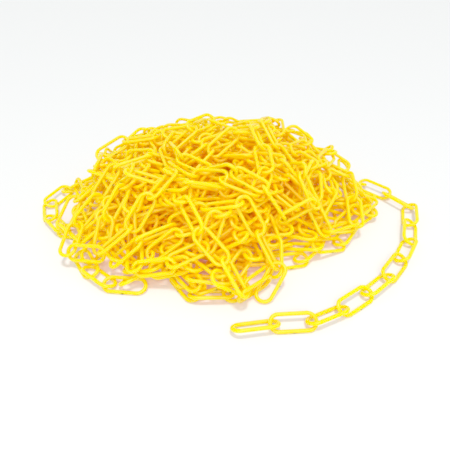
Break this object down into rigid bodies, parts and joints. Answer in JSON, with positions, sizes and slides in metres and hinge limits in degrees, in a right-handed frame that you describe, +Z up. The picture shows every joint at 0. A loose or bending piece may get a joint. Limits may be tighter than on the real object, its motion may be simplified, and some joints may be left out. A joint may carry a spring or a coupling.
{
  "type": "plastic barrier chain",
  "caption": "Long moulded plastic barrier chain of oval links, most of it lying in a tangled heap, with its free end curving out across the floor.",
  "frame": {"origin": "on the floor under the middle of the whole chain's box", "axes": "+Z up from the floor, +X to the right of the heap, -Y its front, where the free end lies"},
  "size_m": [0.5021, 0.4044, 0.1092],
  "materials": {
    "yellow_polyethylene": "satin, slightly translucent, straight from the mould"
  },
  "bodies": {
    "heap": {"heap_run_01": "yellow_polyethylene", "heap_run_02": "yellow_polyethylene", "heap_run_03": "yellow_polyethylene", "heap_run_04": "yellow_polyethylene", "heap_run_05": "yellow_polyethylene", "heap_run_06": "yellow_polyethylene", "heap_run_07": "yellow_polyethylene", "heap_run_08": "yellow_polyethylene", "heap_run_09": "yellow_polyethylene", "heap_run_10": "yellow_polyethylene", "heap_run_11": "yellow_polyethylene", "heap_run_12": "yellow_polyethylene", "heap_run_13": "yellow_polyethylene", "heap_run_14": "yellow_polyethylene", "heap_run_15": "yellow_polyethylene", "heap_run_16": "yellow_polyethylene", "heap_run_17": "yellow_polyethylene", "heap_run_18": "yellow_polyethylene", "heap_run_19": "yellow_polyethylene", "heap_run_20": "yellow_polyethylene", "heap_run_21": "yellow_polyethylene", "heap_run_22": "yellow_polyethylene", "heap_run_23": "yellow_polyethylene", "heap_run_24": "yellow_polyethylene", "heap_run_25": "yellow_polyethylene", "heap_run_26": "yellow_polyethylene", "heap_run_27": "yellow_polyethylene", "heap_run_28": "yellow_polyethylene", "heap_run_29": "yellow_polyethylene", "heap_run_30": "yellow_polyethylene", "heap_run_31": "yellow_polyethylene", "heap_run_32": "yellow_polyethylene", "heap_run_33": "yellow_polyethylene", "heap_run_34": "yellow_polyethylene", "heap_run_35": "yellow_polyethylene", "heap_run_36": "yellow_polyethylene", "heap_run_37": "yellow_polyethylene", "heap_run_38": "yellow_polyethylene", "heap_run_39": "yellow_polyethylene", "heap_run_40": "yellow_polyethylene", "heap_run_41": "yellow_polyethylene", "heap_run_42": "yellow_polyethylene", "heap_run_43": "yellow_polyethylene", "heap_run_44": "yellow_polyethylene", "heap_run_45": "yellow_polyethylene", "heap_run_46": "yellow_polyethylene"},
    "free_link_01": {"free_link_01": "yellow_polyethylene"},
    "free_link_02": {"free_link_02": "yellow_polyethylene"},
    "free_link_03": {"free_link_03": "yellow_polyethylene"},
    "free_link_04": {"free_link_04": "yellow_polyethylene"},
    "free_link_05": {"free_link_05": "yellow_polyethylene"},
    "free_link_06": {"free_link_06": "yellow_polyethylene"},
    "free_link_07": {"free_link_07": "yellow_polyethylene"},
    "free_link_08": {"free_link_08": "yellow_polyethylene"},
    "free_link_09": {"free_link_09": "yellow_polyethylene"},
    "free_link_10": {"free_link_10": "yellow_polyethylene"},
    "end_link": {"end_link": "yellow_polyethylene"}
  },
  "joints": [
    {"name": "free_link_01_swing", "type": "hinge", "parent": "heap", "child": "free_link_01", "pos_m": [0.1931, 0.06924, 0.00662], "axis": [0, 0, 1], "range_deg": [0, 20]},
    {"name": "free_link_02_swing", "type": "hinge", "parent": "free_link_01", "child": "free_link_02", "pos_m": [0.22025, 0.04302, 0.00662], "axis": [0, 0, 1], "range_deg": [0, 25]},
    {"name": "free_link_03_swing", "type": "hinge", "parent": "free_link_02", "child": "free_link_03", "pos_m": [0.24232, 0.01266, 0.00662], "axis": [0, 0, 1], "range_deg": [0, 25]},
    {"name": "free_link_04_swing", "type": "hinge", "parent": "free_link_03", "child": "free_link_04", "pos_m": [0.23195, -0.02347, 0.00662], "axis": [0, 0, 1], "range_deg": [0, 25]},
    {"name": "free_link_05_swing", "type": "hinge", "parent": "free_link_04", "child": "free_link_05", "pos_m": [0.21962, -0.05929, 0.00662], "axis": [0, 0, 1], "range_deg": [0, 25]},
    {"name": "free_link_06_swing", "type": "hinge", "parent": "free_link_05", "child": "free_link_06", "pos_m": [0.19956, -0.09139, 0.00662], "axis": [0, 0, 1], "range_deg": [0, 25]},
    {"name": "free_link_07_swing", "type": "hinge", "parent": "free_link_06", "child": "free_link_07", "pos_m": [0.17573, -0.12082, 0.00662], "axis": [0, 0, 1], "range_deg": [0, 25]},
    {"name": "free_link_08_swing", "type": "hinge", "parent": "free_link_07", "child": "free_link_08", "pos_m": [0.14714, -0.14568, 0.00662], "axis": [0, 0, 1], "range_deg": [0, 25]},
    {"name": "free_link_09_swing", "type": "hinge", "parent": "free_link_08", "child": "free_link_09", "pos_m": [0.11649, -0.16795, 0.00662], "axis": [0, 0, 1], "range_deg": [0, 25]},
    {"name": "free_link_10_swing", "type": "hinge", "parent": "free_link_09", "child": "free_link_10", "pos_m": [0.08255, -0.1845, 0.00662], "axis": [0, 0, 1], "range_deg": [-5, 25]},
    {"name": "end_link_swing", "type": "hinge", "parent": "free_link_10", "child": "end_link", "pos_m": [0.04484, -0.18714, 0.00662], "axis": [0, 0, 1], "range_deg": [-20, 25]}
  ]
}
